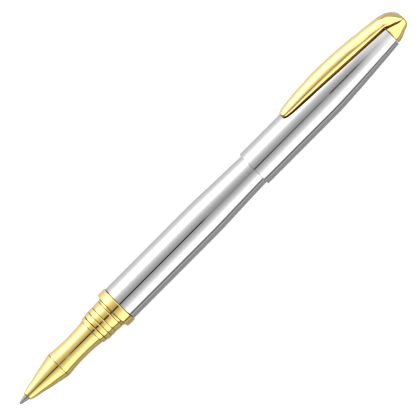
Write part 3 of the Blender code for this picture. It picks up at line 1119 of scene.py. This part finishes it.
# Directions along the pen run from -1 at the writing end to 1 at the crown, and heights from -1 to 1.
# The card past the crown: its brightness, the share of it low down, the heights it brightens
# between, and how much of it shows by the direction along the pen.
END_CARD = 1.9
END_CARD_LOW = 0.3
END_CARD_RISE = (-0.05, 0.12)
END_CARD_SHARE = [(-1.0, 0.0), (0.165, 0.0), (0.205, 0.42), (0.28, 0.42), (0.42, 1.0)]
# The shade past the writing end: its brightness, and the directions it comes in between
FRONT_SHADE = 0.25
FRONT_SHADE_RISE = (-0.50, -0.80)
# The dark slit overhead, in degrees: its middle, half width, half width towards the writing end,
# and soft edge. Then the directions it widens between, the light left in it, and how much of it
# shows by the direction along the pen.
SLIT_MIDDLE = -2.6
SLIT_HALF_WIDTH = 3.4
SLIT_FRONT_HALF_WIDTH = 5.2
SLIT_EDGE = 0.6
SLIT_WIDENING = (-0.05, -0.14)
SLIT_LIGHT = 0.03
SLIT_SHARE = [
    (-1.0, 1.0), (-0.02, 1.0), (0.02, 0.25), (0.06, 0.1), (0.085, 0.9), (0.165, 0.9), (0.19, 0.3),
]


class Studio(NodeTree):
    """The node tree of the surroundings."""

    def __init__(self):
        world = bpy.data.worlds.new("studio")
        super().__init__(world)
        bpy.context.scene.world = world

    def eased(self, value, low, high, to_low=0.0, to_high=1.0):
        """As spread, but it starts and ends gently."""
        return self.spread(value, low, high, to_low, to_high, interpolation_type="SMOOTHSTEP")

    def ramp(self, value, low, high, table):
        """Brightness read from a table of (value, brightness), as a share of its peak."""
        ramp = self.add("ValToRGB", {"Fac": self.spread(value, low, high)})
        stops = ramp.color_ramp.elements
        peak = max(level for _, level in table)
        for i, (place_on, level) in enumerate(table):
            spot = (place_on - low) / (high - low)
            stop = stops[i] if i < 2 else stops.new(spot)
            stop.position = spot
            stop.color = (level / peak,) * 3 + (1,)
        return ramp.outputs["Color"]


def slit_light(studio, turn, along):
    """The share of light left by the dark slit overhead."""
    off_slit = studio.maths("ABSOLUTE", studio.maths("SUBTRACT", turn, SLIT_MIDDLE), 0.0)
    half_width = studio.eased(along, *SLIT_WIDENING, SLIT_HALF_WIDTH, SLIT_FRONT_HALF_WIDTH)
    off_edge = studio.maths("SUBTRACT", off_slit, half_width)
    open_air = studio.eased(off_edge, -SLIT_EDGE, SLIT_EDGE, SLIT_LIGHT, 1.0)
    return studio.blend(studio.ramp(along, -1, 1, SLIT_SHARE), (1, 1, 1, 1), open_air)


def make_world():
    studio = Studio()
    direction = studio.add("TexCoord").outputs["Generated"]
    parts = studio.add("SeparateXYZ", {"Vector": direction}).outputs
    turn = studio.maths("ARCTAN2", parts["Y"], parts["Z"])
    turn = studio.maths("MULTIPLY", turn, 180 / pi)
    boxes = studio.ramp(turn, -180, 180, STUDIO)
    open_share = slit_light(studio, turn, parts["X"])
    light = studio.blend(1.0, boxes, open_share, blend_type="MULTIPLY")
    peak = max(level for _, level in STUDIO)
    card_light = END_CARD / peak
    card = studio.eased(parts["Z"], *END_CARD_RISE, END_CARD_LOW * card_light, card_light)
    light = studio.blend(studio.ramp(parts["X"], -1, 1, END_CARD_SHARE), light, card)
    dark = (FRONT_SHADE / peak,) * 3 + (1,)
    light = studio.blend(studio.eased(parts["X"], *FRONT_SHADE_RISE), light, dark)
    background = studio.tree.nodes["Background"]
    studio.set(background, "Color", light)
    studio.set(background, "Strength", peak)


def floor_mesh():
    """A disc that curves up into a bowl far from the pen."""
    flat, rise, rings, sides = 1.2, 2.2, 24, 96
    climbs = [radians(90 * i / rings) for i in range(rings + 1)]
    profile = [(flat + rise * sin(a), rise * (1 - cos(a))) for a in climbs]
    angles = [2 * pi * i / sides for i in range(sides)]
    bm = bmesh.new()
    centre = bm.verts.new((0, 0, 0))
    loops = [[bm.verts.new((r * cos(a), r * sin(a), z)) for a in angles] for r, z in profile]
    for i in range(sides):
        bm.faces.new((centre, loops[0][i], loops[0][(i + 1) % sides]))
        for low, high in zip(loops, loops[1:]):
            bm.faces.new((low[i], high[i], high[(i + 1) % sides], low[(i + 1) % sides]))
    mesh = bpy.data.meshes.new("floor")
    bm.to_mesh(mesh)
    bm.free()
    return mesh


def make_floor():
    """A pale floor that curves up far from the pen, so that low views have a plain background."""
    mesh = floor_mesh()
    floor = bpy.data.objects.new("floor", mesh)
    bpy.context.collection.objects.link(floor)
    floor.data.shade_smooth()
    floor.visible_glossy = False
    floor.visible_diffuse = False
    floor.visible_shadow = False
    paper = Look("floor", Specular_IOR_Level=0.1)
    tone = paper.noise((0.02, 0.02, 0.02), 3.0)
    paper.finish(
        Base_Color=paper.blend(tone, colour(0.90, 0.90, 0.90), colour(0.92, 0.92, 0.92)),
        Roughness=paper.spread(tone, 0.3, 0.7, 0.85, 0.95),
    )
    mesh.materials.append(paper.material)


def make_lights():
    light = bpy.data.lights.new("overhead", "AREA")
    light.shape = "DISK"
    light.size = 1.4
    light.energy = 16
    lamp = bpy.data.objects.new("overhead", light)
    lamp.location = (0, 0.15, 1.3)
    lamp.visible_glossy = False
    bpy.context.collection.objects.link(lamp)


def make_camera():
    camera = bpy.data.cameras.new("camera")
    camera.sensor_width = SENSOR
    camera.lens = SENSOR * VIEW_DISTANCE / VIEW_WIDTH
    camera.clip_start = 0.01
    camera.clip_end = 100
    eye = bpy.data.objects.new("camera", camera)
    right = Vector((cos(VIEW_TURN), -sin(VIEW_TURN), 0))
    up = Vector((sin(VIEW_TURN), cos(VIEW_TURN), 0))
    facing = Matrix((right, up, Vector((0, 0, 1)))).transposed()
    tilt = Matrix.Rotation(VIEW_TILT, 3, "Y")
    low, high = CAD_BOX
    target = Matrix.Translation(((low[0] + high[0]) / 2, CLIP_SIDE_SHIFT, AXIS_HEIGHT))
    away = Matrix.Translation((0, 0, VIEW_DISTANCE))
    eye.matrix_world = target @ (tilt @ facing).to_4x4() @ away
    bpy.context.collection.objects.link(eye)
    bpy.context.scene.camera = eye


make_nose_cone()
make_grip_section()
make_collar()
make_o_ring()
make_refill_tip()
make_refill()
make_ball()
make_barrel()
make_bush()
make_end_plug()
make_spring()
make_cap_tube()
make_inner_cap()
make_cap_fixings()
make_crown()
make_clip()
make_world()
make_floor()
make_lights()
make_camera()
bpy.context.scene.view_settings.view_transform = "Standard"
